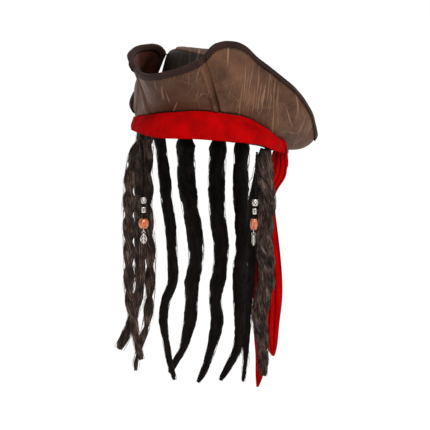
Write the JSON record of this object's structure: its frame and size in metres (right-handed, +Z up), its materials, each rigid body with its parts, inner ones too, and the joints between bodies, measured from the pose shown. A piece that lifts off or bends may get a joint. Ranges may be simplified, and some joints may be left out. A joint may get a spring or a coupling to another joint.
{
  "type": "pirate hat",
  "caption": "Three-cornered imitation-leather hat with bound brim, red knit bandana with hanging tails, dreadlocks and beaded strands under the headband.",
  "frame": {"origin": "centre of the head opening, in the plane of the headband over the forehead", "axes": "+Z up along the hanging locks, -Y towards the face, +X towards the wearer's left"},
  "size_m": [0.24, 0.2571, 0.4241],
  "materials": {
    "imitation_leather": "distressed, waxy, crackled",
    "leather_facing": "matt, dark",
    "binding_tape": "folded tape",
    "bandana_knit": "fine jersey knit",
    "cotton_twill": "twill tape",
    "black_hair": "felted dreadlock fibre",
    "brown_hair": "felted dreadlock fibre",
    "silver_metal": "aged plated metal",
    "amber_wood": "varnished bead",
    "sewing_thread": "waxed thread"
  },
  "bodies": {
    "hat": {"crown_side": "imitation_leather", "crown_tip": "imitation_leather", "sweatband": "cotton_twill", "brim_outer": "imitation_leather", "brim_facing": "leather_facing", "brim_binding": "binding_tape", "tack_stitch_right": "sewing_thread", "bandana_band": "bandana_knit", "hair_weft_back": "cotton_twill", "hair_weft_left": "cotton_twill", "bandana_gather": "bandana_knit"},
    "back_locks_pair": {"back_lock_1": "black_hair", "back_lock_2": "black_hair"},
    "back_lock_third": {"back_lock_3": "black_hair"},
    "back_lock_fourth": {"back_lock_4": "black_hair"},
    "right_locks": {"right_lock_1": "brown_hair", "right_lock_2": "brown_hair", "right_lock_3": "brown_hair"},
    "right_strand": {"right_bead_strand": "brown_hair", "right_silver_bead": "silver_metal", "right_silver_tube": "silver_metal", "right_amber_bead": "amber_wood"},
    "right_charm_body": {"right_charm": "silver_metal"},
    "left_locks": {"left_lock_thick": "brown_hair", "left_lock_thin": "brown_hair"},
    "left_strand": {"left_bead_strand": "brown_hair", "left_silver_bead": "silver_metal", "left_silver_tube": "silver_metal", "left_amber_bead": "amber_wood"},
    "left_charm_body": {"left_charm": "silver_metal"},
    "bandana_tails": {"bandana_tail_front": "bandana_knit", "bandana_tail_back": "bandana_knit"}
  },
  "joints": [
    {"name": "back_locks_pair_swing", "type": "hinge", "parent": "hat", "child": "back_locks_pair", "pos_m": [-0.0668, 0.0506, -0.012], "axis": [0.6038, 0.7971, 0], "range_deg": [-3, 50]},
    {"name": "back_lock_third_swing", "type": "hinge", "parent": "hat", "child": "back_lock_third", "pos_m": [-0.0285, 0.092, -0.021], "axis": [0.9552, 0.2959, 0], "range_deg": [-3, 50]},
    {"name": "back_lock_fourth_swing", "type": "hinge", "parent": "hat", "child": "back_lock_fourth", "pos_m": [-0.002, 0.0984, -0.023], "axis": [0.9998, 0.0203, 0], "range_deg": [-3, 50]},
    {"name": "right_locks_swing", "type": "hinge", "parent": "hat", "child": "right_locks", "pos_m": [-0.0843, -0.0168, -0.001], "axis": [-0.1954, 0.9807, 0], "range_deg": [-3, 50]},
    {"name": "right_strand_swing", "type": "hinge", "parent": "hat", "child": "right_strand", "pos_m": [-0.0641, -0.055, 0.002], "axis": [-0.6512, 0.7589, 0], "range_deg": [-3, 50]},
    {"name": "left_locks_swing", "type": "hinge", "parent": "hat", "child": "left_locks", "pos_m": [0.0779, -0.03, -0.015], "axis": [-0.2621, -0.965, 0], "range_deg": [-3, 45]},
    {"name": "left_strand_swing", "type": "hinge", "parent": "hat", "child": "left_strand", "pos_m": [0.0739, -0.0467, -0.008], "axis": [-0.5025, -0.8646, 0], "range_deg": [-3, 50]},
    {"name": "bandana_tails_swing", "type": "hinge", "parent": "hat", "child": "bandana_tails", "pos_m": [0.0685, 0.004, -0.0677], "axis": [0.0858, -0.9963, 0], "range_deg": [-3, 45]},
    {"name": "right_charm_swing", "type": "hinge", "parent": "right_strand", "child": "right_charm_body", "pos_m": [-0.0618, -0.0552, -0.1057], "axis": [-0.3746, 0.9272, 0], "range_deg": [-60, 60]},
    {"name": "left_charm_swing", "type": "hinge", "parent": "left_strand", "child": "left_charm_body", "pos_m": [0.073, -0.0525, -0.1007], "axis": [-0.3746, 0.9272, 0], "range_deg": [-60, 60]}
  ]
}
